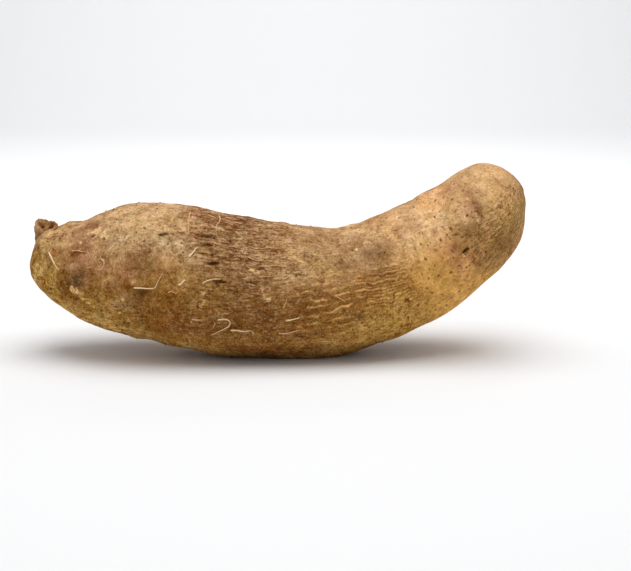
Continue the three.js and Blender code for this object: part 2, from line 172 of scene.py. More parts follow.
# Stained patches by tint, in the order that they are laid: along, around, half length, half height,
# strength, and slant where it has one. The long umber and soot patches low on the belly near 160 mm
# are painted shade where the tuber rests.
STAINS = {
    "straw": (
        (6, 58, 1.6, 14, 0.35), (42.6, -15.6, 1.8, 1.5, 0.6), (59, -44.5, 4, 2.4, 0.6, 20),
        (10, -30, 7, 14, 0.55), (58.5, 0.5, 3, 1.4, 0.95, 30), (72.5, -40, 3.4, 1.8, 0.8, 10),
        (76.7, 0.5, 1.6, 2.6, 0.75), (198, 28, 9, 3, 0.75, -3), (190, 36, 12, 4, 0.4),
        (203, 36, 10, 18, 0.14), (58, -50, 14, 9, 0.7), (196, -44, 16, 12, 0.45), (20, -4, 7, 10, 0.25),
        (110, 14, 12, 9, 0.25), (120, -58, 18, 10, 0.5), (66, -58, 22, 10, 0.6), (104, -74, 18, 6, 0.5),
        (36, -52, 16, 9, 0.5), (228, -32, 20, 12, 0.45), (328, -14, 11, 18, 0.6), (275, 26, 4.5, 3.2, 0.7),
        (267, 18.5, 3, 2.4, 0.8), (313, 45, 8, 5, 0.4), (289, 46, 2, 4, 0.6, 40),
        (303.5, -17, 3, 5, 0.5, 20),
    ),
    "dust": (
        (80, 86, 12, 14, 0.3), (66, 66, 14, 12, 0.2),
    ),
    "apricot": (
        (333, 6, 9, 12, 0.35), (292, 68, 8, 6, 0.7), (300, 60, 4, 5, 0.5),
    ),
    "ochre": (
        (20, -12, 2.6, 8, 0.8), (47, -23, 3.5, 5, 0.8, 20), (58, -45, 4.5, 7, 0.6), (24, -38, 6, 6, 0.5),
        (66, -31, 4, 2, 0.6), (122, 4, 8, 8, 0.6), (230, -35, 24, 16, 0.5), (316, -38, 15, 13, 0.62),
    ),
    "grey": (
        (92, 37, 12, 6, 0.45), (66, 36, 8, 6, 0.4), (150, 36, 4.5, 2.6, 0.6), (235, 45, 7, 3, 0.45),
        (230, 46, 6, 5, 0.35), (221, 68, 4.5, 5, 0.45), (224, 41, 7, 3, 0.35), (76, -20, 11, 8, 0.3),
        (301, 36, 5, 4, 0.6), (279, 50, 2.4, 1.8, 0.5), (332, 62, 13, 22, 0.25), (328, 28, 7, 10, 0.25),
    ),
    "rose": (
        (40, 14, 12, 12, 0.3), (66, 6, 14, 8, 0.25), (316, 25, 4, 9, 0.3, -14), (310, 68, 12, 12, 0.25),
        (287, 3, 5.5, 8, 0.55), (287, -10, 4, 12, 0.5), (296, -18, 6, 6, 0.4),
    ),
    "rust": (
        (17, 15, 1.4, 1.7, 0.95), (75, -1.5, 1.3, 1.3, 0.6), (122, 75, 2.8, 2.6, 0.55),
        (130, 77, 2.2, 1.5, 0.6),
    ),
    "russet": (
        (36, 32, 11, 11, 0.62), (41, 61, 10, 5, 0.85, -20), (33, 62, 6, 7, 0.65, -30), (62, -4, 3, 2, 0.6),
        (130, 78, 10, 5, 0.85), (134, 66, 5, 4, 0.7), (108, 72, 8, 6, 0.55), (150, -30, 30, 20, 0.3),
        (320.5, 22, 3, 9, 0.8, -14),
    ),
    "umber": (
        (3.5, 40, 3, 4, 0.45), (32, -15, 5, 5, 0.7), (41, 6, 6, 5, 0.6), (49, -9, 2.4, 5, 0.6),
        (66, -10, 8, 4.5, 0.38), (77, 18, 8, 5, 0.45), (52, -38, 2.5, 4.5, 0.45), (68, -46, 7, 3, 0.48),
        (36, -27, 8, 5, 0.4, -20), (138, 5, 9, 8, 0.55), (137, -14, 18, 4, 0.5), (187, 8, 14, 2, 0.5, 8),
        (184, -4, 13, 4, 0.42), (214, 3, 10, 4, 0.4), (250, 80, 13, 12, 0.45), (222, 50, 18, 14, 0.36),
        (237, 39, 13, 9, 0.48), (246, 28, 8, 4, 0.4), (230, 16, 16, 8, 0.24), (218, 91, 3.5, 8, 0.7),
        (185, -25, 18, 7, 0.6), (112, -24, 40, 16, 0.58), (146, -30, 30, 20, 0.56), (100, -38, 14, 8, 0.72),
        # (156, -44) is painted shade low on the belly, where the tuber rests.
        (101, 38, 9, 7, 0.25), (125, 6, 18, 10, 0.25), (156, -44, 50, 14, 0.54), (165, 2, 22, 14, 0.26),
        (148, -10, 26, 14, 0.62), (144, 14, 22, 9, 0.38), (276, 94, 14, 18, 0.5), (267, 48, 9, 9, 0.32),
        (198, 66, 16, 20, 0.36), (206, 42, 24, 18, 0.36), (319, 14, 2.2, 5, 0.6, -14),
        (314, -48, 12, 10, 0.6), (293, -7, 4, 3, 0.5, 20), (292.5, 5, 3.5, 3, 0.6), (298, -2, 8, 5, 0.45),
        (300, -12, 6, 6, 0.5), (295.5, -24, 2, 3.6, 0.7, 20), (303, -26, 1.3, 2.2, 0.8, 20),
        (296, -33, 5, 5, 0.5), (306, 4, 12, 9, 0.55), (309, -38, 12, 10, 0.6), (300, 12, 7, 6, 0.4),
        (175, 55, 6, 4, 0.4),
    ),
    "soot_and_shade": (
        (38, -4, 5, 5, 0.8), (83, -6.5, 3, 2, 0.85), (79, 24, 2.4, 1.6, 0.55), (84.5, 15, 3, 4, 0.5),
        (133, 82.5, 2, 1.6, 0.8), (102, 77, 1.8, 2.2, 0.6), (97, 70, 2, 1.5, 0.5),
        # (164, -62) is painted shade along the belly, where the tuber rests.
        (210, -13, 8, 4, 0.45, -8), (240, 36, 10, 7, 0.22), (164, -62, 40, 8, 0.6),
    ),
    "pale": (
        (40, 49.5, 3, 2.2, 0.95, -8), (46, 51, 3.8, 2.3, 0.95, -10), (50.5, 52, 3.2, 2.9, 1, -20),
        (55, 44.5, 4, 2.5, 1, -20), (57.5, 48, 2, 1.6, 0.8), (34.5, 37, 1.6, 1.3, 0.7),
        (37.6, -15.6, 2.6, 2, 1.4), (46.2, -23.5, 1.9, 0.9, 0.9, -20), (43.6, -21.5, 1.4, 0.9, 0.75),
        (48.8, -26, 1.2, 0.9, 0.65), (115, -23.5, 0.7, 0.7, 1.3), (70, -15.5, 2.2, 1.3, 0.8),
        (64.8, -29.5, 2.4, 1.2, 0.75, 20), (98.5, 35.5, 4, 1.8, 0.62), (148, 26.5, 3.8, 1.7, 1, -22),
        (152.5, 19, 1.3, 4.5, 0.8, 12), (155.5, 10, 0.9, 6, 0.75, 22), (158.5, 5, 2, 2.4, 0.8),
        (171.5, 43, 2.8, 3, 0.8), (175, 36, 1.8, 3.8, 0.8, -60), (179, 23, 2, 2.2, 0.5),
        (118.5, 2.5, 1.6, 1.7, 0.8), (118.7, -7, 1.1, 2.7, 0.8), (223.5, 48, 1.4, 1.3, 0.9),
        (194, 40, 1.2, 1.1, 0.9), (309.5, 17, 1.8, 3, 1, -40), (305, 22.5, 1.2, 2.8, 0.9, 50),
        (315, 9, 1.1, 4.5, 0.75, -20), (320, 33, 1, 1.4, 0.9), (292.8, -8.2, 1.3, 0.65, 1.6, 35),
        (303, 30, 5, 5, 0.55), (172, 38, 2, 8, 0.5), (329, -62, 7, 7, 0.5),
    ),
}
# Stains on the hidden side: tint, how many, half length, half height.
HIDDEN_STAINS = (
    ("umber", 26, 9, 5), ("soot_and_shade", 12, 3.5, 2.5), ("russet", 12, 9, 5), ("ochre", 14, 9, 6),
    ("pale", 20, 2.6, 1.8), ("straw", 8, 7, 3), ("grey", 10, 6, 4), ("rust", 6, 1.6, 1.6),
)
# Rootlets in front: thickness at the root, then along, around of each place that it passes.
ROOTLETS = (
    (1.35, 13.5, 12.8, 17, 8.5, 20.5, 3, 22.5, 0, 24.8, -2.5),
    (0.95, 30, 24.5, 34, 25.8, 38, 25.6, 42, 26.5),
    (1.05, 55.5, 20, 57.8, 17, 57, 12.5, 55, 10.8, 52.5, 10.6), (0.9, 65, 23, 66.3, 25, 69, 25.8),
    (1.15, 77.5, -4, 82, -3.3, 87, -2.6, 90.5, -1, 91.5, 4, 93.2, 11.5),
    (1.8, 103.8, 5, 105, 6.5, 106.3, 9.6), (0.9, 98.5, -2.8, 100.5, -1, 102.6, -2.2, 104.6, -0.2),
    (1.8, 106.3, 28.6, 107.6, 32, 109.2, 37), (1, 100, 70, 100.6, 61, 102, 52, 103, 46.5),
    (1, 116.5, 80, 118, 70, 116.8, 62, 117.6, 54), (1.2, 116.6, 10, 119, 12.8, 122.5, 15, 126.5, 16.3),
    (1, 114.8, -21, 118.5, -20.6, 122.2, -19.8),
    (1.2, 130, -17.2, 134.5, -15.4, 137, -17.5, 136.8, -21.5, 133.5, -26, 127.6, -33),
    (1.25, 138.5, -25.4, 142, -24.6, 146, -25.2, 150, -24, 151.8, -27),
    (0.9, 128.6, -21, 128.2, -24, 127.4, -27), (0.9, 114.6, -41, 116, -44, 117, -48.5),
    (1.3, 170, -11.4, 173, -10.4, 177.6, -8.6), (1, 166.5, -24.4, 171, -23.8, 176, -21.4, 179, -20.6),
    (0.8, 162.6, -19.6, 165.6, -16.8), (0.9, 167.8, -0.6, 169, 3, 169.8, 7.6),
    (0.9, 142, 38, 146, 36.4, 150, 36, 155.5, 36.8), (0.8, 149.5, 46.8, 156, 48.2, 162, 48, 168.5, 49.3),
    (0.8, 158, 33, 163, 33.4, 170.5, 32.6), (0.8, 151, 22.6, 155, 24, 159.4, 24.2),
    (0.9, 200, 8.6, 203.5, 5.6, 206.5, 2.4), (0.8, 258, 52, 262, 50.5, 266, 51.5),
    (0.9, 268.5, -31.5, 271, -30.5, 273, -28.6), (0.8, 44, 10.5, 47, 11.8, 50, 13.2),
    (0.8, 36, -40, 39, -43, 41.5, -44),
)
HIDDEN_ROOTLETS = 46


def linear(hex_colour):
    """Turns an sRGB hex colour into linear light: ((c + 0.055) / 1.055) to the power 2.4."""
    parts = [int(hex_colour[place:place + 2], 16) / 255 for place in (1, 3, 5)]
    return tuple(c / 12.92 if c <= 0.04045 else ((c + 0.055) / 1.055) ** 2.4 for c in parts)


def extent(name, description, default):
    """A length that a user may change, given in millimetres."""
    return bpy.props.FloatProperty(name=name, description=description, default=default * MM, min=0.0,
                                   unit="LENGTH")


def swatch(name, description, hex_colour):
    """A colour that a user may change, kept as linear light."""
    return bpy.props.FloatVectorProperty(name=name, description=description, size=3, min=0.0, max=1.0,
                                         default=linear(hex_colour), subtype="COLOR")


class YamSizes(bpy.types.PropertyGroup):
    """Sizes of the relief and of the small pieces on the skin."""

    ridge_height: extent("Ridge height", "Height of the wavy ridges along the skin", 0.55)
    bark_height: extent("Bark height", "Height of the fibrous bark near the top", 0.95)
    grain_height: extent("Grain height", "Height of the corky lumps at the crown end", 0.7)
    crumb_size: extent("Crumb size", "Size of the largest soil crumb", 1.5)
    ridge_count: bpy.props.IntProperty(
        name="Ridges around", description="Number of ridges round the whole girth", default=54, min=3)
    rootlet_scale: bpy.props.FloatProperty(
        name="Rootlet thickness", description="Factor on the thickness of every rootlet",
        default=0.84, min=0.1, subtype="FACTOR")


class YamColours(bpy.types.PropertyGroup):
    """Colours of the cork, its stains, the rootlets and the floor. Some of them lay painted shade and
    sheen.
    """

    # The dusty top is also a painted sheen: skin that faces up is made lighter, as under the light above.
    cork_top_dust_and_sheen: swatch("Dusty cork and painted sheen", "Skin that faces up: rubbed and dusty, with painted sheen", "#C29B72")
    cork_low: swatch("Soiled cork", "Skin low on the sides, full of soil", "#9A6824")
    cork_light: swatch("Light cork", "Rubbed specks and crests", "#D8B07C")
    olive: swatch("Olive cork", "Skin of the crown end", "#AA8250")
    bark: swatch("Bark", "Fibrous bark over the shoulder", "#9C6E4A")
    ridge_crest: swatch("Ridge crest", "Crests of the wavy ridges", "#DAA566")
    ridge_gap: swatch("Ridge gap", "Darker colour between the ridges", "#7C4D20")
    smooth: swatch("Smooth skin", "Ochre skin with pores", "#DBA85E")
    # The smooth top is dust and a painted sheen; on the stem it is the painted highlight of the rim.
    smooth_top_dust_and_sheen: swatch("Smooth dusty skin, painted sheen", "Pale skin with pores, facing up", "#E2B88C")
    dome: swatch("Dome skin", "Greyish skin of the growing tip", "#CFA275")
    pale: swatch("Pale flake", "Freshly flaked cork", "#CFA772")
    straw: swatch("Straw", "Yellowish rubbed skin", "#D4AE6C")
    dust: swatch("Dust", "Dry dust on the shoulder", "#D8B48C")
    # The bloom is dust and also a painted sheen on the lightest grains.
    bloom: swatch("Bloom", "Dusty bloom and painted sheen on the lightest grains", "#F2DABC")
    apricot: swatch("Apricot", "Warm rubbed skin", "#DDA668")
    ochre: swatch("Ochre", "Yellow clay stain", "#B08A42")
    grey: swatch("Grey", "Dusty grey bloom", "#BBA27A")
    rose: swatch("Rose", "Pinkish bruised skin", "#C08064")
    rust: swatch("Rust", "Orange iron stain", "#B0683C")
    russet: swatch("Russet", "Red-brown inner bark", "#885637")
    # Umber and soot also lay painted shade low on the belly.
    umber: swatch("Umber", "Brown soil stain, and painted shade on the belly", "#70461F")
    moss: swatch("Moss", "Greenish tinge of damp cork", "#93834C")
    soot_and_shade: swatch("Soot", "Black damp soil, and painted shade on the belly", "#45341F")
    # Crack is painted shade in the fissures; pore is the pores' own colour with painted shade.
    crack: swatch("Crack", "Depth of the fissures", "#301806")
    pore: swatch("Pore", "Depth of the pores", "#6A360C")
    rootlet: swatch("Rootlet", "Dried rootlets", "#FCDFB0")
    floor: swatch("Floor", "Studio floor and backdrop", "#F2F2F2")


# ---- Working out surfaces.

def rise(value, low, high):
    """Goes from 0 at low to 1 at high by the curve 3t^2 - 2t^3. It falls where low is above high."""
    share = np.clip((value - low) / (high - low), 0, 1)
    return share * share * (3 - 2 * share)


def unit(vectors):
    """Vectors divided by their own length."""
    return vectors / (np.linalg.norm(vectors, axis=-1, keepdims=True) + 1e-12)


def turned_back(angle):
    """Angle difference in radians, brought between minus and plus half a turn."""
    return (angle + math.pi) % TURN - math.pi


def lattice_noise(points, seed):
    """Gradient noise: a random slope at each corner of a unit lattice, the eight slopes round a point
    blended by the curve 6t^5 - 15t^4 + 10t^3. It runs from about -1 to 1."""
    random = np.random.default_rng(seed)
    table = np.tile(random.permutation(256), 2)
    slopes = unit(random.normal(size=(256, 3)))
    cell = np.floor(points).astype(int)
    part = points - cell
    ease = part ** 3 * (part * (part * 6 - 15) + 10)
    total = np.zeros(points.shape[:-1])
    for corner in np.ndindex(2, 2, 2):
        x, y, z = np.moveaxis((cell + corner) & 255, -1, 0)
        slope = slopes[table[table[table[x] + y] + z]]
        weight = np.prod(np.where(corner, ease, 1 - ease), axis=-1)
        total += weight * np.sum(slope * (part - corner), axis=-1)
    return total * 1.6


def layered_noise(points, size, seed, layers=3, gain=0.5):
    """Sum of gradient noise at half the size and gain times the height each time. size is the width of
    the largest lumps in millimetres, one number or one for each direction."""
    scaled = points / np.asarray(size, dtype=float)
    parts = [gain ** n * lattice_noise(scaled * 2 ** n + 17.3 * n, seed + n) for n in range(layers)]
    return sum(parts) / sum(gain ** n for n in range(layers))


def through(rows, at):
    """Catmull-Rom curve through the rows, which stand at 0, 1, 2 ...; the ends go on straight."""
    before = np.clip(np.floor(at).astype(int), 0, len(rows) - 2)
    t = (at - before)[:, None]
    more = np.vstack((2 * rows[0] - rows[1], rows, 2 * rows[-1] - rows[-2]))
    a, b, c, d = (more[before + n] for n in range(4))
    return 0.5 * (2 * b + (c - a) * t + (2 * a - 5 * b + 4 * c - d) * t ** 2
                  + (3 * b - 3 * c + d - a) * t ** 3)


@functools.lru_cache(maxsize=1)
def axis_table():
    """Length along the axis, in millimetres, at evenly stepped stations."""
    stations = np.linspace(0, len(STATIONS) - 1, AXIS_STEPS + 1)
    steps = np.linalg.norm(np.diff(through(STATIONS, stations)[:, :3], axis=0), axis=1)
    return np.concatenate(((0,), np.cumsum(steps))), stations


AXIS_LENGTH = float(axis_table()[0][-1])


def end_scale(along):
    """Share of the full girth: a quarter ellipse closes each end."""
    crown = np.maximum(1 - along / CROWN_CAP, 0)
    tip = np.maximum(1 - (AXIS_LENGTH - along) / TIP_CAP, 0)
    return np.sqrt(np.clip(1 - crown ** 2 - tip ** 2, 0, 1))


def form(along, around):
    """The plain tuber, in the source's own place: axis point + (half thickness + lift) * sin(around)
    * up - (half width + lift) * cos(around) * back, cut flat where it rests. Gives points as
    [along, around, xyz]."""
    at = np.interp(along, *axis_table())
    row = through(STATIONS, at)
    step = 1e-3
    ahead = (through(STATIONS, np.minimum(at + step, len(STATIONS) - 1))
             - through(STATIONS, np.maximum(at - step, 0)))
    forward = unit(ahead[:, :3])
    up = unit(np.cross(forward, (0.0, 1.0, 0.0)))
    back = np.cross(up, forward)
    share, angle = np.meshgrid(along / AXIS_LENGTH, around, indexing="ij")
    lift = sum(height * np.sin(TURN * waves * share + phase) * np.cos(lobes * angle + turn)
               for height, waves, phase, lobes, turn in LUMPS)
    for height, place, spread, towards, width in SWELLINGS:
        lift += height * np.exp(-((share - place) / spread) ** 2
                                - (turned_back(angle - towards) / width) ** 2)
    scale = end_scale(along)[:, None]
    thick = ((row[:, 3:4] + lift) * scale * np.sin(angle))[..., None]
    wide = ((row[:, 4:5] + lift) * scale * np.cos(angle))[..., None]
    points = row[:, None, :3] + thick * up[:, None, :] - wide * back[:, None, :]
    points[..., 2] = np.maximum(points[..., 2], 0)
    return points


def girth(along):
    """Mean radius of the tuber, in millimetres, at each place along it."""
    row = through(STATIONS, np.interp(along, *axis_table()))
    return (row[:, 3] + row[:, 4]) / 2 * end_scale(along)


def ring_places():
    """Places of the rings along the axis, so that they stand evenly along the skin, and the length of
    skin from the crown end to each: the skin is sqrt(step^2 + change of radius^2) long."""
    fine = AXIS_LENGTH * (1 - np.cos(np.linspace(0, math.pi, 6001))) / 2
    skin = np.concatenate(((0,), np.cumsum(np.hypot(np.diff(fine), np.diff(girth(fine))))))
    even = np.linspace(0, skin[-1], RINGS + 2)
    return np.interp(even, skin, fine), even


def fibre_angle(along, around):
    """Angle with the climb of the fibres taken out: the climb times cos(around), since it is level."""
    return around - np.radians(np.interp(along, *FIBRE_CLIMB.T)) * np.cos(around)


def fibre_slope(along, around):
    """How many millimetres the fibres climb for each millimetre along, at a place in degrees."""
    ends = np.interp((along - 2, along + 2), *FIBRE_CLIMB.T)
    return math.radians(ends[1] - ends[0]) * MEAN_RADIUS / 4 * math.cos(math.radians(around))


def linked(name, data):
    """Puts a mesh, lamp or camera into the scene as an object."""
    made = bpy.data.objects.new(name, data)
    bpy.context.scene.collection.objects.link(made)
    return made


def smooth_mesh(name, points, faces):
    """An object made of smooth faces."""
    mesh = bpy.data.meshes.new(name)
    mesh.from_pydata(points.tolist(), [], faces)
    mesh.shade_smooth()
    return linked(name, mesh)


def closed_mesh(name, grids, poles=None):
    """Makes an object from closed surfaces: grids is [copy, row, column, xyz] in metres and wraps
    round by its columns. poles is [copy, end, xyz]; without it each end row closes at its middle."""
    copies, rows, columns, _ = grids.shape
    if poles is None:
        poles = grids[:, (0, -1)].mean(axis=2)
    points = np.concatenate((grids.reshape(copies, -1, 3), poles), axis=1).reshape(-1, 3)
    ring = np.arange(columns)
    beside = (ring + 1) % columns
    row = np.arange(rows - 1)[:, None] * columns
    below = row + columns
    quads = np.stack((row + ring, below + ring, below + beside, row + beside), axis=-1).reshape(-1, 4)
    foot, pole = (rows - 1) * columns, np.full(columns, rows * columns)
    caps = np.hstack(((pole, ring, beside), (pole + 1, foot + beside, foot + ring))).T
    offsets = np.arange(copies)[:, None, None] * (rows * columns + 2)
    quads, caps = (quads + offsets).reshape(-1, 4), (caps + offsets).reshape(-1, 3)
    return smooth_mesh(name, points, quads.tolist() + caps.tolist())


def set_attribute(piece, name, values):
    """Stores one number for each vertex, or three where values has three columns."""
    values = np.asarray(values, dtype=np.float32)
    kind, field = ("FLOAT", "value") if values.ndim == 1 else ("FLOAT_VECTOR", "vector")
    piece.data.attributes.new(name, kind, "POINT").data.foreach_set(field, values.ravel())


def store_masks(piece, masks):
    """Stores masks over the grid as attributes. Each pole takes the mean of the row beside it."""
    for name, values in masks.items():
        set_attribute(piece, name, np.append(values.ravel(), (values[0].mean(), values[-1].mean())))


def patch_distance(away, across, half_length, half_height, slant=0):
    """How far a place is from the middle of an ellipse, as a share of its half axes. slant is in
    degrees and lifts the far end."""
    lean = math.radians(slant)
    x = away * math.cos(lean) + across * math.sin(lean)
    y = across * math.cos(lean) - away * math.sin(lean)
    return np.hypot(x / half_length, y / half_height)


@functools.lru_cache(maxsize=1)
def skin_shape(ridge_height, bark_height, grain_height, ridge_count):
    """The whole skin: plain form, relief along its normals, and the masks that the material reads.
    Heights are in millimetres. A mask is one number for each point of the grid: a share from 0 to 1,
    the distance from the edge of a mark, or the phase and height of the relief."""
    along, skin_length = ring_places()
    inner = along[1:-1]
    around = np.arange(SEGMENTS) * TURN / SEGMENTS - math.pi / 2
    plain = form(inner, around)
    s, angle = np.meshgrid(inner, around, indexing="ij")
    length = np.repeat(skin_length[1:-1, None], SEGMENTS, axis=1)
    radius = np.repeat(girth(inner)[:, None], SEGMENTS, axis=1)
    place = np.stack((s, radius * np.cos(angle), radius * np.sin(angle)), axis=-1)
    level = fibre_angle(s, angle)
    strip = np.stack((length, MEAN_RADIUS * np.cos(level), MEAN_RADIUS * np.sin(level)), axis=-1)

    beside = np.roll(plain, -1, axis=1) - np.roll(plain, 1, axis=1)
    normal = unit(np.cross(np.gradient(plain, axis=0), beside))
    # How far a place faces up. At the poles sin(angle) jumps, so the skin's own slope takes over.
    round_share = rise(radius, *SLOPE_FADE)
    up = round_share * np.sin(angle) + (1 - round_share) * normal[..., 2]

    # Zones rise and fall along the axis, in millimetres, and with how far the skin faces up.
    s_soft = s + 9 * layered_noise(place, 26, SEED, layers=2)
    up_soft = up + 0.16 * layered_noise(place, 20, SEED + 5, layers=2)
    crown = rise(s_soft, 108, 78)
    bark = rise(s_soft, 84, 106) * rise(s_soft, 168, 138) * rise(up_soft, 0.2, 0.62)
    fibre = (rise(s_soft, 96, 122) * (1 - 0.5 * rise(s_soft, 165, 195)) * rise(s_soft, 240, 198)
             * rise(up_soft, -0.8, -0.25))
    ridge = (rise(s_soft, 164, 180) * rise(s_soft, 262, 236) * rise(up_soft, 0.46, 0.3)
             * rise(up_soft, -0.75, -0.3))
    wrinkle = (rise(s_soft, 204, 226) * rise(s_soft, 264, 246) * rise(up_soft, -0.8, -0.4)
               * rise(up_soft, 0.5, 0.3))
    tip = rise(s_soft, 290, 322)
    bare = rise(s_soft, 236, 266) * (1 - tip)
    scuffed = rise(s_soft, 286, 300) * rise(up_soft, 0.5, -0.1)
    rough = 1 - 0.75 * np.clip(bare + 0.6 * tip, 0, 1)

    # Wavy ridges: cos(count * angle + warp), broken by noise; the material draws the same ridges.
    warp = (ridge_count * (level - angle) + 2.6 * lattice_noise(strip / (14, 9, 9), SEED + 11)
            + 1.6 * lattice_noise(strip / (4.5, 5, 5), SEED + 12))
    breaks = rise(lattice_noise(strip / (7, 3.6, 3.6), SEED + 13), -0.3, 0.12)
    ridge = ridge * (0.35 + 0.65 * rise(lattice_noise(strip / (22, 7, 7), SEED + 15), -0.35, 0.15))
    fibre = fibre * (1 - 0.5 * ridge)
    crest = rise(np.cos(ridge_count * angle + warp), 0, 1) * breaks
    # Wrinkles: FOLDS to each ridge, so they wind that much more.
    fold = rise(np.cos(FOLDS * (ridge_count * angle + warp) + FOLD_TURN), 0, 1) * breaks

    fibres = layered_noise(strip, (15, 3.2, 3.2), SEED + 20, layers=2, gain=0.7)
    shingles = 3 * lattice_noise(strip / (11, 5, 5), SEED + 23) % 1
    relief = (
        grain_height * layered_noise(place, 7, SEED + 26, layers=3, gain=0.8) * (0.4 + 0.6 * crown)
        + bark_height * (fibres + 0.4 * (shingles - 0.5)) * bark
        + 0.5 * fibres * fibre * (1 - 0.6 * bark)
        + ridge_height * (crest - 0.35) * ridge
        + 0.6 * ridge_height * (fold - 0.35) * wrinkle * (1 - 0.5 * ridge)
        + 0.35 * layered_noise(strip, (12, 3.2, 3.2), SEED + 34, layers=2, gain=0.7) * tip
    )

    random = np.random.default_rng(SEED)

    def scattered(count, *ranges):
        """Marks on the hidden side, each number drawn evenly from its range."""
        return [tuple(random.uniform(*span) for span in ranges) for _ in range(count)]

    def nearby(mark_along, mark_around):
        """Millimetres along the skin and across it from a mark to every point."""
        mark_length = np.interp(mark_along, along, skin_length)
        return length - mark_length, radius * turned_back(angle - math.radians(mark_around))

    far = 9.0
    crack = np.full(s.shape, far)
    for *spot, long, wide, deep, lip in (*FISSURES, *scattered(*HIDDEN_FISSURES)):
        away, across = nearby(*spot)
        across = across - fibre_slope(*spot) * away - 0.5 * np.sin(away * 0.6 + spot[0])
        taper = np.maximum(1 - (2 * away / long) ** 2, 0)
        relief -= deep * np.exp(-(across / (0.55 * wide)) ** 2) * taper
        relief += lip * np.exp(-((across - 1.3 * wide) / wide) ** 2) * taper
        edge = (np.abs(across) - (0.15 + 0.25 * deep) * wide * taper ** 0.8
                + 0.15 * max(0.0, 0.8 - deep))
        crack = np.minimum(crack, np.where(np.abs(away) < 0.62 * long, edge, far))
    pore = np.full(s.shape, far)
    hidden = [mark for ranges in HIDDEN_PORES for mark in scattered(*ranges)]
    for *spot, size in (*PORES, *hidden):
        away, across = nearby(*spot)
        distance = np.hypot(away, 0.85 * across)
        pore = np.minimum(pore, distance - size)
        relief -= 0.3 * size * np.exp(-(distance / (1.1 * size)) ** 2)
        relief += 0.12 * size * np.exp(-((distance - 2.1 * size) / size) ** 2)

    marks = [(tint, *row) for tint, rows in STAINS.items() for row in rows]
    for tint, count, long, tall in HIDDEN_STAINS:
        hidden = scattered(count, (12, 336), (100, 260), (0.5 * long, 1.4 * long),
                           (0.5 * tall, 1.4 * tall), (-20, 20), (0.4, 0.9))
        marks += [(tint, *spot, strength, slant) for *spot, slant, strength in hidden]
    sway = [2.4 * layered_noise(place, 8, SEED + seed) for seed in (40, 44)]
    stains = {tint: np.zeros(s.shape) for tint in STAINS}
    for tint, mark_along, mark_around, long, tall, strength, *slant in marks:
        away, across = (part + shake * min(1.0, 0.35 * tall)
                        for part, shake in zip(nearby(mark_along, mark_around), sway))
        share = strength * np.exp(-0.8 * patch_distance(away, across, long, tall, *slant) ** 2)
        stains[tint] = np.maximum(stains[tint], share)
    # Pale flakes stand a little proud.
    relief += 0.35 * rise(stains["pale"], 0.35, 0.6)
    lift = relief + 0.5 * layered_noise(place, 24, SEED + 30, layers=2)
    # Bumps fade out at the poles, where the rings are too small to carry them.
    fade = rise(radius, 0, POLE_FADE)
    for mark_along, mark_around, long, tall, top, *slant in BUMPS_BY_HAND:
        distance = patch_distance(*nearby(mark_along, mark_around), long, tall, *slant)
        lift += top * fade * np.exp(-distance ** 2)

    points = plain + lift[..., None] * normal
    points[..., 2] = np.maximum(points[..., 2], 0)
    # upper and bare_top carry the lighter top colours: dust, and a painted sheen from the light above.
    masks = dict(crown=crown, bark=bark, fibre=fibre, ridge=ridge, wrinkle=wrinkle, bare=bare, tip=tip,
                 upper=rise(up_soft, -0.15, 0.8), low=rise(up_soft, 0.3, -0.5) * rough,
                 scuffed=scuffed, torn=np.maximum(fibre, scuffed), rough=rough, crack=crack, pore=pore,
                 bare_top=bare * rise(up_soft, 0, 0.6), ridge_warp=warp, ridge_breaks=breaks,
                 relief=relief, **stains)
    poles = form(along[[0, -1]], around[:1])[:, 0]
    return {"points": points, "normal": normal, "poles": poles, "along": along,
            "skin_length": skin_length, "strip": strip, "masks": masks, "around": around}


def current_skin():
    """The skin that the present sizes give."""
    sizes = bpy.context.scene.yam_sizes
    return skin_shape(sizes.ridge_height / MM, sizes.bark_height / MM, sizes.grain_height / MM,
                      sizes.ridge_count)


def moved(points):
    """From the source's own place, in millimetres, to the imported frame, in metres: the box of form and
    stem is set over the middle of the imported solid's box."""
    shape = form(np.linspace(0, AXIS_LENGTH, 400), np.linspace(0, TURN, 180))
    low, high = (np.array(corner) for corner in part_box("tuber"))
    shift = (low + high) / 2 / MM - (shape.min(axis=(0, 1)) + shape.max(axis=(0, 1))) / 2
    shift[2] = 0
    placed = (points + shift) * MM
    placed[..., 2] = np.maximum(placed[..., 2], 0)
    return placed


def on_skin(skin, along, around, lift):
    """Points at a height over the finished skin: the four nearest grid points are blended by the
    share of the way between them, and so are their normals. around is in radians."""
    ring = np.clip(np.interp(along, skin["along"], np.arange(RINGS + 2)) - 1, 0, RINGS - 1.001)
    column = ((around - skin["around"][0]) / TURN * SEGMENTS) % SEGMENTS
    i, j = ring.astype(int), column.astype(int)
    a, b = (ring - i)[..., None], (column - j)[..., None]
    j = j % SEGMENTS
    following = (j + 1) % SEGMENTS

    def blend(grid):
        """Bilinear blend of the grid at these places."""
        return ((grid[i, j] * (1 - b) + grid[i, following] * b) * (1 - a)
                + (grid[i + 1, j] * (1 - b) + grid[i + 1, following] * b) * a)

    return blend(skin["points"]) + np.asarray(lift)[..., None] * unit(blend(skin["normal"]))


def tubes(paths, radii, sides):
    """Tubes with pointed ends round several paths: path point + radius * (cos(a) * out + sin(a) *
    side), where out is square to the path. paths is [copy, row, xyz], radii is [copy, row]."""
    forward = unit(np.gradient(paths, axis=1))
    out = unit(np.cross(forward, (0.31, 0.22, 0.93)))
    side = np.cross(out, forward)
    turn = np.arange(sides) * TURN / sides
    ring = np.cos(turn)[:, None] * out[:, :, None] + np.sin(turn)[:, None] * side[:, :, None]
    grids = paths[:, :, None] + radii[:, :, None, None] * ring
    reach = np.array((-1, 1))[:, None] * radii[:, (0, -1), None] * forward[:, (0, -1)]
    return grids, paths[:, (0, -1)] + reach


# ---- Materials.

# Places of the colour sockets on a Mix node.
FACTOR, UNDER, OVER, MIXED = 0, 6, 7, 2


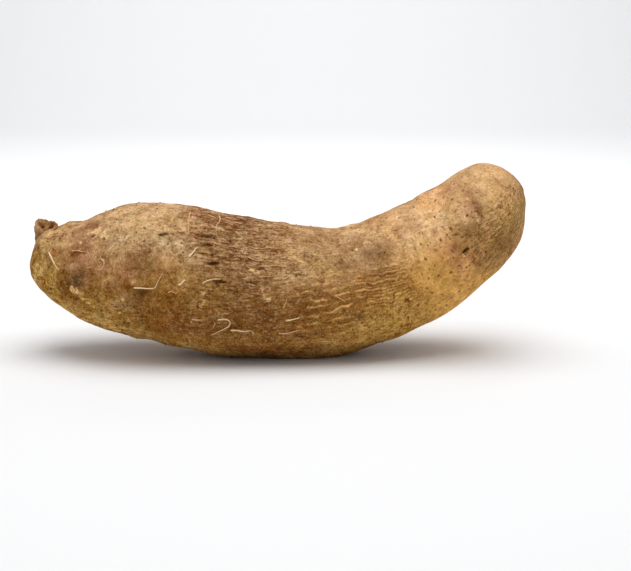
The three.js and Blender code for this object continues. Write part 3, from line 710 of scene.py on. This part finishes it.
class Paint:
    """A node material while it is built: its masks, its noise patterns and the colour laid so far."""

    def __init__(self, name, base, masks=()):
        self.material = bpy.data.materials.new(name)
        self.material.use_nodes = True
        self.material.node_tree.nodes.clear()
        self.tone = self.colour(base)
        self.mask = {mask: self.node("Attribute", output="Fac", attribute_name=mask) for mask in masks}
        self.pattern = {}
        # Object coordinates in millimetres.
        self.body = self.node("VectorMath", {0: self.node("TexCoord", output="Object"), "Scale": 1 / MM},
                              operation="SCALE")

    def node(self, kind, inputs=(), output=0, **settings):
        """Adds a node with its settings and links, and gives one of its outputs. inputs holds the
        first sockets in order, or any of them by name or number: a value, or the output that feeds
        the socket."""
        tree = self.material.node_tree
        made = tree.nodes.new("ShaderNode" + kind)
        for name, value in settings.items():
            setattr(made, name, value)
        named = inputs if isinstance(inputs, dict) else dict(enumerate(inputs))
        for name, value in named.items():
            if isinstance(value, bpy.types.NodeSocket):
                tree.links.new(value, made.inputs[name])
            else:
                made.inputs[name].default_value = value
        return made.outputs[output] if made.outputs else None

    def colour(self, name):
        """One of the user's colours with its alpha."""
        return (*getattr(bpy.context.scene.yam_colours, name), 1)

    def noise(self, rows, source):
        """Adds noise patterns: name, width of the largest lump in mm, detail, roughness, and the range
        of the noise that is stretched to -0.5 to 0.5. A Mix node takes a share below 0 as 0."""
        for name, size, detail, roughness, low, high in rows:
            noise = self.node("TexNoise", {"Vector": source, "Scale": 1 / size, "Detail": detail,
                                           "Roughness": roughness})
            self.pattern[name] = self.node("MapRange", (noise, low, high, -0.5, 0.5))

    def times(self, *parts):
        """Multiplies sockets and numbers together."""
        return functools.reduce(
            lambda total, part: self.node("Math", (total, part), operation="MULTIPLY"), parts)

    def share(self, zone, name, strength):
        """The strength, times the mask and the pattern where they are named."""
        parts = [self.mask[zone]] if zone else []
        parts += [self.pattern[name]] if name else []
        return self.times(*parts, strength)

    def total(self, rows, value):
        """Adds shares to a value: mask or None, pattern or None, strength."""
        for row in rows:
            value = self.node("Math", (self.share(*row), value), operation="ADD")
        return value

    def lay(self, colour, *parts):
        """Lays a colour over the tone: tone * (1 - share) + colour * share. The share is the product
        of the parts."""
        self.tone = self.node("Mix", {FACTOR: self.times(*parts), UNDER: self.tone,
                                      OVER: self.colour(colour)}, MIXED, data_type="RGBA")

    def layers(self, rows):
        """Lays colours in order: colour, mask or None, pattern or None, strength."""
        for colour, *row in rows:
            self.lay(colour, self.share(*row))

    def finish(self, relief, roughness, specular, height=1, strength=1, ior=1.45):
        """Closes the material. Its relief is height mm high; None leaves the surface even."""
        surface = {"Base Color": self.tone, "Roughness": roughness, "IOR": ior,
                   "Specular IOR Level": specular}
        if relief:
            surface["Normal"] = self.node("Bump", {"Height": relief, "Distance": height * MM,
                                                   "Strength": strength})
        self.node("OutputMaterial", {"Surface": self.node("BsdfPrincipled", surface)})
        return self.material


# Noise in the cork, on the body's own place and on a shifted one: as in Paint.noise.
CORK_NOISE = (
    ("clouds", 21, 3, 0.55, 0.36, 0.64), ("blotch", 8, 4, 0.7, 0.36, 0.64),
    ("mottle", 4.6, 6, 0.76, 0.35, 0.65), ("yellow", 8.3, 5, 0.7, 0.38, 0.62),
    ("dots", 2.1, 1, 0.5, 0.4, 0.28), ("grain", 1.3, 2, 0.6, 0.34, 0.66),
)
CORK_NOISE_SHIFTED = (
    ("clouds_two", 13, 3, 0.6, 0.36, 0.64), ("mottle_two", 2.4, 4, 0.74, 0.36, 0.64),
    ("red", 6.4, 5, 0.7, 0.38, 0.62), ("green", 9.7, 5, 0.7, 0.38, 0.62),
    ("specks", 2.3, 2, 0.6, 0.56, 0.7),
)
# Noise drawn out along the fibres: length and width of a streak, then the row for Paint.noise.
CORK_STREAKS = (
    (6.5, 1.5, ("streak", 1, 4, 0.68, 0.36, 0.64)), (4.5, 1, ("streak_fine", 1, 3, 0.6, 0.34, 0.66)),
    (8, 2.6, ("splits", 1, 3, 0.5, 0, 1)),
)
# Colours laid over the soiled tone, in order: colour, mask or None, pattern or None, strength. On the
# upper and bare_top masks the pale top colours are dust and also a painted sheen where the light falls.
CORK_LAYERS = (
    ("cork_top_dust_and_sheen", "upper", None, 1), ("olive", "crown", "clouds_two", 1.4), ("bark", "bark", None, 0.85),
    ("bark", "fibre", None, 0.3), ("smooth", "bare", None, 0.9), ("dome", "tip", None, 0.85),
    ("smooth_top_dust_and_sheen", "bare_top", None, 0.9), ("smooth", "wrinkle", None, 0.2), ("umber", None, "clouds", 0.5),
    ("ochre", None, "yellow", 0.7), ("ochre", "low", "yellow", 0.7), ("russet", None, "red", 0.8),
    ("moss", "rough", "green", 0.5), ("moss", "low", "green", 0.6),
    ("cork_light", "upper", "clouds_two", 0.7),
)
# Light and dark in the tone: mask or None, pattern, weight.
CORK_VALUES = (
    (None, "clouds_two", 0.14), ("rough", "clouds_two", 0.16), (None, "blotch", 0.12),
    ("rough", "blotch", 0.2), (None, "mottle", 0.32), ("rough", "mottle", 0.1), ("fibre", "mottle", -0.12),
    ("ridge", "mottle", -0.22), ("ridge", "blotch", -0.12), ("ridge", "clouds_two", -0.08),
    ("wrinkle", "mottle", -0.18), ("rough", "mottle_two", 0.34), ("fibre", "mottle_two", -0.06),
    ("crown", "mottle_two", -0.1), ("low", "mottle_two", 0.2), (None, "grain", 0.17),
    ("rough", "grain", 0.2), ("low", "grain", 0.25), ("bark", "mottle_two", 0.28), ("bark", "streak", 0.65),
    ("fibre", "streak", 0.31), ("fibre", "streak_fine", 0.28), ("tip", "blotch", -0.15),
    ("tip", "mottle", -0.19), ("tip", "mottle_two", -0.12), ("tip", "clouds_two", -0.08),
    ("tip", "streak", 0.06), ("scuffed", "streak_fine", 0.3), ("scuffed", "mottle_two", 0.34),
    ("bare_top", "mottle_two", 0.14),
)
# Height of the fine relief: mask or None, pattern, millimetres.
CORK_BUMPS = (
    (None, "mottle", 0.55), ("crown", "mottle_two", 0.5), (None, "grain", 0.12), (None, "dots", -0.25),
    ("bark", "streak", 0.6), ("fibre", "streak", 0.4), ("fibre", "streak_fine", 0.25),
    ("tip", "streak", 0.2),
)


def cork_material(mask_names):
    """Corky yam skin: grown, not made. Dead cork cells split into grains, fibres and ridges as the
    tuber swells, and hold soil in their gaps, so the eye gets a matt, mottled surface with pale rubbed
    crests and dark hollows. Part of that is painted light: the relief paints hollows darker as shade
    and crests lighter as highlight, the top takes a painted sheen and the belly painted shade."""
    paint = Paint("corky yam skin", "cork_low", mask_names)
    node, mask, pattern, lay = paint.node, paint.mask, paint.pattern, paint.lay
    paint.noise(CORK_NOISE, paint.body)
    paint.noise(CORK_NOISE_SHIFTED, node("VectorMath", (paint.body, (91.0, 37.0, 55.0))))
    strip = node("Attribute", output="Vector", attribute_name="strip")
    for long, wide, row in CORK_STREAKS:
        drawn_out = node("VectorMath", (strip, (1 / long, 1 / wide, 1 / wide)), operation="MULTIPLY")
        paint.noise((row,), drawn_out)
    paint.layers(CORK_LAYERS)

    def bands(phase, crest, gap):
        """Crests, broken as the relief is, and gaps of a wave: the ranges of its cosine."""
        wave = node("Math", (phase,), operation="COSINE")
        crests = node("MapRange", (wave, *crest))
        return paint.times(crests, mask["ridge_breaks"]), node("MapRange", (wave, *gap))

    # Wavy ridges: pale crests, darker gaps. Wrinkles: the same wave at FOLDS times the count.
    turn = node("SeparateXYZ", (node("UVMap", uv_map="Skin"),), "Y")
    ridges = TURN * bpy.context.scene.yam_sizes.ridge_count
    warped = node("Math", (turn, ridges, mask["ridge_warp"]), operation="MULTIPLY_ADD")
    phase = node("Math", (pattern["mottle"], warped), operation="ADD")
    folded = node("Math", (phase, FOLDS, FOLD_TURN), operation="MULTIPLY_ADD")
    crest, gap = bands(phase, (0.6, 0.9), (0.3, -0.4))
    line, between = bands(folded, (0.4, 0.85), (0.1, -0.6))
    lay("ridge_gap", mask["ridge"], gap, 0.34)
    lay("ridge_gap", mask["wrinkle"], between, 0.52)
    lay("ridge_crest", mask["wrinkle"], line, 0.7)
    lay("ridge_crest", mask["ridge"], crest, 0.85)

    def mark(colour, noise, weight, low, high, strength):
        """Lays the mark that is named as its colour, with an edge made ragged by a pattern."""
        ragged = node("Math", (pattern[noise], weight, mask[colour]), operation="MULTIPLY_ADD")
        lay(colour, node("MapRange", (ragged, low, high, 0.0, strength)))

    # Stains: the mottle makes each one ragged. Pale flakes have a firm edge.
    edge_noise = node("Math", (pattern["mottle"], 1.7, 1.2), operation="MULTIPLY_ADD")
    for tint in STAINS:
        if tint != "pale":
            lay(tint, edge_noise, mask[tint], 0.85)
    mark("pale", "mottle", 0.5, 0.3, 0.6, 0.9)

    # Light and dark: patterns and relief set a share between a deep and a bright form of the tone.
    # The relief's share is painted light: darker hollows as shade, lighter crests as highlight.
    value = paint.total(CORK_VALUES, paint.times(mask["relief"], 0.35))
    value = node("Math", (value, 0.9, 0.5), operation="MULTIPLY_ADD")
    deep = node("VectorMath", (paint.tone, (0.48, 0.27, 0.0)), operation="MULTIPLY")
    # Light grains are greyer with dust on top and yellower with soil low down.
    gain = node("Mix", {FACTOR: mask["low"], UNDER: (2.06, 2.21, 2.36, 1), OVER: (2.1, 2.2, 2.14, 1)},
                MIXED, data_type="RGBA")
    bright = node("VectorMath", (paint.tone, gain), operation="MULTIPLY")
    paint.tone = node("Mix", {FACTOR: value, UNDER: deep, OVER: bright}, MIXED, data_type="RGBA")
    # The lightest grains take the pale bloom: dust, and a painted sheen where the tone is brightest.
    lightest = node("MapRange", (value, 0.6, 1.0, 0.0, 0.2))
    lay("bloom", node("Math", (mask["low"], -0.08, lightest), operation="MULTIPLY_ADD"))

    # Splits between the fibres: thin dark lines where a stretched noise is near its middle, with a
    # light lip along one side.
    lip = [node("MapRange", (pattern["splits"], *span)) for span in ((0.04, 0.075), (0.13, 0.085))]
    lay("cork_light", mask["torn"], *lip, edge_noise, 0.3)
    middle = node("Math", (pattern["splits"],), operation="ABSOLUTE")
    lay("umber", mask["torn"], node("MapRange", (middle, 0.05, 0.012)), edge_noise, 0.55)
    # Dark dots, darkest low down, light specks, and the depths of fissures and pores. The near-black
    # fill of the fissures is painted shade; the brown of the pores is their own colour and painted shade.
    lay("umber", pattern["dots"], 1.1)
    lay("crack", mask["low"], pattern["dots"], 1.0)
    lay("cork_light", pattern["specks"], 1.1)
    mark("crack", "grain", 0.7, 0.35, -0.3, 0.74)
    mark("pore", "grain", 0.5, 0.2, -0.4, 0.8)

    relief = paint.total(CORK_BUMPS, paint.times(mask["ridge"], crest, 0.35))
    relief = node("Math", (paint.times(mask["wrinkle"], line, 0.4), relief), operation="ADD")
    roughness = node("MapRange", (pattern["grain"], -0.5, 0.5, 0.78, 0.92))
    return paint.finish(relief, roughness, specular=0.08)


def layered_material(name, base, noise, layers, masks=(), relief=None, **surface):
    """A material of layers over a base colour, with one of its noise patterns as relief."""
    paint = Paint(name, base, masks)
    paint.noise(noise, paint.body)
    paint.layers(layers)
    return paint.finish(paint.pattern.get(relief), **surface)


def rootlet_material():
    """Dried rootlet: a thread of dead fibre that shrank and bleached as it dried, so it is pale,
    patchy and slightly silky. Its fibres are drawn coarse enough to show."""
    return layered_material(
        "dried rootlet fibre", "apricot",
        (("patches", 3, 3, 0.6, 0.35, 0.65), ("grain", 0.5, 2, 0.6, 0.3, 0.7)),
        (("rootlet", "bleached", None, 1), ("cork_low", None, "patches", 0.8),
         ("bark", None, "grain", 0.5)),
        masks=("bleached",), relief="grain", height=0.1, strength=0.6, roughness=0.8, specular=0.2)


def stem_material():
    """Broken stem wood: torn across its fibres, so the torn face is rough and dark in its hollows and
    the sides keep orange-brown bark with grooves down them. The pale rim on one side is a painted
    highlight, and the near-black in the holes and hollows is painted shade."""
    return layered_material(
        "broken stem wood", "apricot",
        (("patches", 4.5, 3, 0.6, 0.4, 0.6), ("speck", 1.3, 3, 0.6, 0.38, 0.62),
         ("grain", 0.5, 2, 0.6, 0.3, 0.7)),
        # The rim layers are a painted highlight on the lit side; crack in the hollows is painted shade.
        (("bark", None, "speck", 1.8), ("rust", None, "patches", 1.6), ("russet", "groove", None, 0.85),
         ("smooth_top_dust_and_sheen", "rim", None, 0.9), ("umber", None, "grain", 0.9), ("bark", "rim", "speck", 0.8),
         ("crack", "hollow", None, 0.95)),
        masks=("hollow", "groove", "rim"), relief="speck", height=0.7, roughness=0.85, specular=0.1)


def flake_material():
    """Loose bark: thin cork scales that lifted as they dried, paler than the skin where they catch
    the light."""
    return layered_material(
        "loose cork bark", "cork_top_dust_and_sheen",
        (("patches", 5, 3, 0.6, 0.4, 0.6), ("speck", 1.2, 3, 0.6, 0.38, 0.62)),
        (("bark", None, "patches", 2), ("cork_light", None, "speck", 1.2)),
        relief="speck", height=0.2, strength=0.7, roughness=0.85, specular=0.1)


def crumb_material():
    """Dry soil: crumbs of clay and leaf mould, matt and uneven in colour."""
    return layered_material(
        "dry soil crumb", "umber",
        (("patches", 9, 2, 0.6, 0.4, 0.6), ("grain", 0.6, 2, 0.6, 0.3, 0.7)),
        (("cork_low", None, "patches", 2), ("olive", None, "grain", 0.8)),
        roughness=0.95, specular=0.15, ior=1.4)


def floor_material():
    """Matt studio paper: rolled and uncoated, so it gives an even pale ground. Its fibres are drawn
    coarser than they are."""
    return layered_material(
        "matt studio paper", "floor", (("fibre", 0.8, 2, 0.5, 0.3, 0.7),), (),
        relief="fibre", height=0.02, strength=0.2, roughness=0.95, specular=0.1, ior=1.5)


def dress(piece, material):
    """Gives a piece its material and its body."""
    piece.data.materials.append(material)
    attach(piece, "root")


# ---- One operator for each piece.

class YamSkin(bpy.types.Operator):
    """Builds the corky skin over the whole tuber"""

    bl_idname = "yam.skin"
    bl_label = "Skin"

    def execute(self, context):
        skin = current_skin()
        piece = closed_mesh("skin", moved(skin["points"])[None], moved(skin["poles"])[None])
        store_masks(piece, skin["masks"])
        ends = ((0, 0, 0), (skin["skin_length"][-1], 0, 0))
        set_attribute(piece, "strip", np.concatenate((skin["strip"].reshape(-1, 3), ends)))
        # UV map: share of the length, share of the turn; the closing column ends at a whole turn.
        row, column = np.divmod(np.arange((RINGS - 1) * SEGMENTS)[:, None], SEGMENTS)
        ring = np.arange(SEGMENTS)[:, None]
        rows = row + (1, 2, 2, 1), ring * 0 + (0, 1, 1), ring * 0 + (RINGS + 1, RINGS, RINGS)
        columns = column + (0, 0, 1, 1), ring + (0.5, 0, 1), ring + (0.5, 1, 0)
        reach = skin["skin_length"][np.concatenate([part.ravel() for part in rows])]
        share = np.concatenate([part.ravel() for part in columns]) / SEGMENTS
        uv = np.stack((reach / skin["skin_length"][-1], share + skin["around"][0] / TURN), axis=-1)
        layer = piece.data.uv_layers.new(name="Skin")
        layer.data.foreach_set("uv", uv.ravel().astype(np.float32))
        dress(piece, cork_material(skin["masks"]))
        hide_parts("tuber")
        return {"FINISHED"}


class YamStem(bpy.types.Operator):
    """Builds the broken stem at the crown"""

    bl_idname = "yam.stem"
    bl_label = "Broken stem"

    def execute(self, context):
        # The profile is carried round the stem's direction and widened by lobes * (1 + grooves + torn
        # fibres). The torn face rises and falls with noise, less exp(-(distance / size)^2) at each
        # hole, and the rim waves round.
        rows, columns = 84, 120
        curve = through(STEM_PROFILE, np.linspace(0, len(STEM_PROFILE) - 1, rows))
        radius, angle = np.meshgrid(curve[:, 0], np.arange(columns) * TURN / columns, indexing="ij")
        height = np.repeat(curve[:, 1:2], columns, axis=1)
        rim_radius, rim_depth = 6.6, 5.0
        rim = np.minimum(radius / rim_radius, 1) ** 2 * np.exp(np.minimum(height, 0) / rim_depth)
        lobes = (1 + 0.06 * np.cos(2 * angle + 0.7) + 0.05 * np.cos(3 * angle + 2.2)
                 + 0.03 * np.cos(5 * angle + 4.1))
        height = height + rim * (np.cos(angle + 0.5) + 0.45 * np.cos(3 * angle + 2.6))
        x, y = radius * np.cos(angle), radius * np.sin(angle)
        place = np.stack((x, y, height), axis=-1)
        groove = layered_noise(place, (1.9, 1.9, 9), SEED + 60, layers=2)
        torn = layered_noise(place, 2.6, SEED + 64, layers=3, gain=0.6)
        side = rise(radius, 6.2, 7.4)
        face = (1 - side) * rise(height, -9, -6)
        holes = sum(np.exp(-((x - hole_x) ** 2 + (y - hole_y) ** 2) / size ** 2)
                    for hole_x, hole_y, size in STEM_HOLES)
        spread = (lobes * (1 + side * 0.1 * groove) + side * 0.06 * torn)[..., None]
        top = height + face * (1.5 * torn - 2.4 * holes) + rim * 0.9 * torn
        across = unit(np.cross(STEM_DIRECTION, (0.0, 1.0, 0.0)))
        deep = np.cross(STEM_DIRECTION, across)
        points = (STEM_TOP + spread * (x[..., None] * across + y[..., None] * deep)
                  + top[..., None] * STEM_DIRECTION)
        piece = closed_mesh("crown_stem", moved(points)[None])
        # lit gives the rim a painted highlight where cos(angle) is high; hollow lays painted shade in the
        # holes.
        lit = np.exp(-((radius - 7.0) / 1.4) ** 2) * (0.5 + 0.5 * np.cos(angle))
        store_masks(piece, {"hollow": np.clip(face * (1.3 * holes - 0.8 * torn), 0, 1),
                            "groove": np.clip(side * (0.4 - groove), 0, 1),
                            "rim": lit * rise(height + 1.5 * torn, -3.0, -0.8)})
        dress(piece, stem_material())
        return {"FINISHED"}


class YamRootlets(bpy.types.Operator):
    """Lays dried rootlets over the skin"""

    bl_idname = "yam.rootlets"
    bl_label = "Rootlets"

    def execute(self, context):
        skin = current_skin()
        random = np.random.default_rng(SEED + 70)
        # Each is a tube along a curve through its places, with radius * (1 - taper * share^1.5). It is
        # held off the skin by most of its radius and, towards its middle, a little more.
        rows, sides, taper = 15, 7, 0.62
        laid = [(thick, np.reshape(places, (-1, 2))) for thick, *places in ROOTLETS]
        for _ in range(HIDDEN_ROOTLETS):
            start = np.array((random.uniform(12, 215), random.uniform(96, 285)))
            bends = random.uniform(0, TURN) + np.cumsum(random.normal(0, 0.55, size=4))
            steps = random.uniform(2.0, 4.2) * np.stack((np.cos(bends), 1.3 * np.sin(bends)), axis=-1)
            places = start + np.concatenate((np.zeros((1, 2)), np.cumsum(steps, axis=0)))
            laid.append((random.uniform(0.8, 1.2), places))
        paths, radii = [], []
        share = np.linspace(0, 1, rows)
        for thick, places in laid:
            along, around = through(places, share * (len(places) - 1)).T
            radius = 0.5 * thick * context.scene.yam_sizes.rootlet_scale * (1 - taper * share ** 1.5)
            lift = radius * 0.75 + 0.5 * np.sin(math.pi * share) * random.uniform(0.3, 1.0)
            paths.append(on_skin(skin, along, np.radians(around), lift))
            radii.append(radius)
        grids, poles = tubes(np.array(paths), np.array(radii), sides)
        piece = closed_mesh("rootlets", moved(grids), moved(poles))
        # Thick rootlets are bleached most.
        bleached = rise(np.array([thick for thick, _ in laid]), 0.75, 1.35)
        set_attribute(piece, "bleached", np.repeat(bleached, rows * sides + 2))
        dress(piece, rootlet_material())
        return {"FINISHED"}


class YamBark(bpy.types.Operator):
    """Scatters loose scales of bark over the shoulder"""

    bl_idname = "yam.bark"
    bl_label = "Loose bark"

    def execute(self, context):
        random = np.random.default_rng(SEED + 80)
        count, rows, columns = 64, 6, 10
        half_thickness, shoulder_radius = 0.16, 45
        shape = (count, 1, 1)
        along = random.uniform(86, 165, shape)
        around = random.uniform(30, 190, shape)
        long = random.uniform(1.6, 4.4, shape)
        wide = random.uniform(0.6, 1.2, shape)
        lean = random.normal(0.05, 0.25, shape)
        raised = random.uniform(0.1, 0.5, shape)
        # A flat ellipsoid: long * span along, wide * half * cos(turn) across and thickness * half *
        # sin(turn) up, where half is sqrt(1 - span^2). Its far end stands up most. Rows run along the
        # scale; columns go over its top and back under it.
        share = (np.arange(rows)[:, None] + 0.5) / rows
        span = 2 * share - 1
        half = np.sqrt(1 - span ** 2)
        turn = np.arange(columns) * TURN / columns
        x = long * span
        y = wide * half * np.cos(turn) + 0.2 * np.sin(3 * x + along)
        z = half_thickness * half * np.sin(turn) + raised * (0.25 + share ** 2 * 0.75)
        reach = x * np.cos(lean) - y * np.sin(lean)
        over = x * np.sin(lean) + y * np.cos(lean)
        turned = np.radians(around) + over / shoulder_radius
        grids = on_skin(current_skin(), along + reach, turned, z)
        piece = closed_mesh("loose_bark", moved(grids[:, :, ::-1]))
        dress(piece, flake_material())
        return {"FINISHED"}


class YamCrumbs(bpy.types.Operator):
    """Scatters soil crumbs over the skin"""

    bl_idname = "yam.crumbs"
    bl_label = "Soil crumbs"

    def execute(self, context):
        random = np.random.default_rng(SEED + 90)
        count, rows, columns = 260, 4, 7
        along = random.uniform(10, 250, count)
        around = random.uniform(-90, 270, count)
        size = context.scene.yam_sizes.crumb_size / MM / 2 * random.uniform(0.3, 1.0, count) ** 1.5
        middle = on_skin(current_skin(), along, np.radians(around), size * 0.3)
        # Balls of a few faces, dented, and squashed by a share of their own in each direction.
        tilt, turn = np.meshgrid((np.arange(rows) + 0.5) * math.pi / rows,
                                 np.arange(columns) * TURN / columns, indexing="ij")
        ball = np.stack((np.sin(tilt) * np.cos(turn), np.sin(tilt) * np.sin(turn), np.cos(tilt)), axis=-1)
        dents = random.uniform(0.65, 1.15, (count, rows, columns, 1))
        squash = random.uniform(0.6, 1.3, (count, 1, 1, 3))
        grids = middle[:, None, None] + size[:, None, None, None] * dents * squash * ball
        ground = 0.02
        grids[..., 2] = np.maximum(grids[..., 2], ground)
        piece = closed_mesh("soil_crumbs", moved(grids))
        dress(piece, crumb_material())
        return {"FINISHED"}


class YamStage(bpy.types.Operator):
    """Builds the pale floor with its curved backdrop, the soft lights and the camera"""

    bl_idname = "yam.stage"
    bl_label = "Stage"

    def execute(self, context):
        scene = context.scene
        # Floor in metres: flat from front to back, then a quarter circle up to a wall.
        front, near, back, bend, wall, half_width = -2.4, -1.5, 1.4, 0.6, 1.8, 3.0
        arc = np.linspace(0, math.pi / 2, 25)[1:]
        flat = np.append(front, np.linspace(near, back, 8))
        depth = np.concatenate((flat, back + bend * np.sin(arc), (back + bend,)))
        up = np.concatenate((0 * flat, bend * (1 - np.cos(arc)), (wall,)))
        sides = np.array((-half_width, half_width))
        grid = np.stack(np.broadcast_arrays(sides, depth[:, None], up[:, None]), axis=-1)
        faces = np.arange(len(depth) - 1)[:, None] * 2 + (0, 1, 3, 2)
        floor = smooth_mesh("floor", grid.reshape(-1, 3), faces.tolist())
        floor.data.materials.append(floor_material())

        # Lights: name, place, what it looks at, width, power in watts.
        lights = (
            ("softbox_above", (0.05, -0.1, 1.15), (0, 0, 0.05), 1.1, 13.0),
            ("softbox_front", (-0.5, -1.3, 0.9), (0, 0, 0.06), 0.9, 1.8),
            ("softbox_behind", (0, 0.7, 1.3), (0, 1.9, 0.6), 1.4, 14.5),
        )
        for name, place, target, width, power in lights:
            data = bpy.data.lights.new(name, "AREA")
            data.shape = "SQUARE"
            data.size = width
            data.energy = power
            lamp = linked(name, data)
            lamp.location = place
            lamp.rotation_euler = (Vector(target) - Vector(place)).to_track_quat("-Z", "Y").to_euler()
        world = scene.world or bpy.data.worlds.new("soft room")
        scene.world = world
        world.use_nodes = True
        sky = world.node_tree.nodes["Background"].inputs
        sky["Color"].default_value = (*linear("#F4F6FA"), 1)
        sky["Strength"].default_value = 0.33
        scene.view_settings.view_transform = "Standard"

        # Camera: it looks along +Y from 12 degrees above, past a point near the tuber's middle.
        distance, elevation = 0.9912, math.radians(12)
        target = Vector((0.025, 0, 0.0465))
        data = bpy.data.cameras.new("camera")
        data.lens = 85.0
        data.sensor_width = 36.0
        data.clip_start = 0.01
        data.clip_end = 20
        camera = linked("camera", data)
        camera.location = target + distance * Vector((0, -math.cos(elevation), math.sin(elevation)))
        camera.rotation_euler = (math.pi / 2 - elevation, 0, 0)
        scene.camera = camera
        return {"FINISHED"}


class YamPanel(bpy.types.Panel):
    """Lists the pieces with their sizes and colours"""

    bl_idname = "VIEW3D_PT_yam"
    bl_label = "Yam tuber"
    bl_space_type = "VIEW_3D"
    bl_region_type = "UI"
    bl_category = "Yam"

    def draw(self, context):
        for piece in PIECES:
            self.layout.operator(piece.bl_idname)
        for group in (context.scene.yam_sizes, context.scene.yam_colours):
            for name in group.bl_rna.properties.keys():
                if name not in ("rna_type", "name"):
                    self.layout.prop(group, name)


PIECES = (YamSkin, YamStem, YamRootlets, YamBark, YamCrumbs, YamStage)
CLASSES = (YamSizes, YamColours, *PIECES, YamPanel)


def register():
    """Registers the classes and hangs their settings on the scene."""
    for item in CLASSES:
        bpy.utils.register_class(item)
    bpy.types.Scene.yam_sizes = bpy.props.PointerProperty(type=YamSizes)
    bpy.types.Scene.yam_colours = bpy.props.PointerProperty(type=YamColours)


def unregister():
    """Takes the settings and classes away again."""
    del bpy.types.Scene.yam_colours
    del bpy.types.Scene.yam_sizes
    for item in reversed(CLASSES):
        bpy.utils.unregister_class(item)


def main():
    """Builds every piece in order."""
    register()
    bpy.ops.yam.skin()
    bpy.ops.yam.stem()
    bpy.ops.yam.rootlets()
    bpy.ops.yam.bark()
    bpy.ops.yam.crumbs()
    bpy.ops.yam.stage()


if __name__ == "__main__":
    main()
